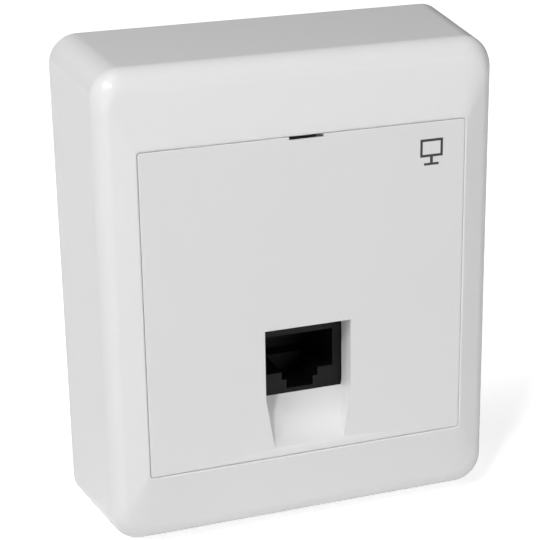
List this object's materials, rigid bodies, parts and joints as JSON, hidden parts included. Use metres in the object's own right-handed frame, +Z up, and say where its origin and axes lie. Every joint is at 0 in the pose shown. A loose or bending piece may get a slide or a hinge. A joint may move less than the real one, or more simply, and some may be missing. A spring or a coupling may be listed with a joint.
{
  "type": "surface mount jack box",
  "caption": "Surface mount data outlet: moulded hood on a wall base, square plate with pry slot, port recess and ramp, and a modular jack behind it.",
  "frame": {"origin": "centre of the two wall screw slots, on the wall plane at the back of the box", "axes": "+Z up the box, +Y into the wall, +X to the right as seen from the front"},
  "size_m": [0.0702, 0.0246, 0.083],
  "materials": {
    "white_plastic": "satin moulded",
    "plate_plastic": "fine satin moulded",
    "base_plastic": "matt moulded",
    "board": "solder mask",
    "black_plastic": "fine matt moulded",
    "carrier_plastic": "matt moulded",
    "gold": "plated",
    "block_plastic": "matt moulded",
    "tinned_metal": "tinned",
    "screw_steel": "zinc plated"
  },
  "bodies": {
    "box": {"cover": "white_plastic", "wall_base": "base_plastic", "circuit_board": "board", "jack_housing": "black_plastic", "contact_carrier": "carrier_plastic", "contact_1": "gold", "contact_2": "gold", "contact_3": "gold", "contact_4": "gold", "contact_5": "gold", "contact_6": "gold", "contact_7": "gold", "contact_8": "gold", "idc_block_left": "block_plastic", "idc_block_right": "block_plastic", "idc_1": "tinned_metal", "idc_2": "tinned_metal", "idc_3": "tinned_metal", "idc_4": "tinned_metal", "idc_5": "tinned_metal", "idc_6": "tinned_metal", "idc_7": "tinned_metal", "idc_8": "tinned_metal", "board_screw_1": "screw_steel", "board_screw_2": "screw_steel", "board_screw_3": "screw_steel", "cover_screw_left": "screw_steel", "cover_screw_right": "screw_steel"},
    "plate": {"insert_plate": "plate_plastic"}
  },
  "joints": [
    {"name": "plate_tilt", "type": "hinge", "parent": "box", "child": "plate", "pos_m": [0, -0.0246, -0.0274], "axis": [1, 0, 0], "range_deg": [0, 30]}
  ]
}
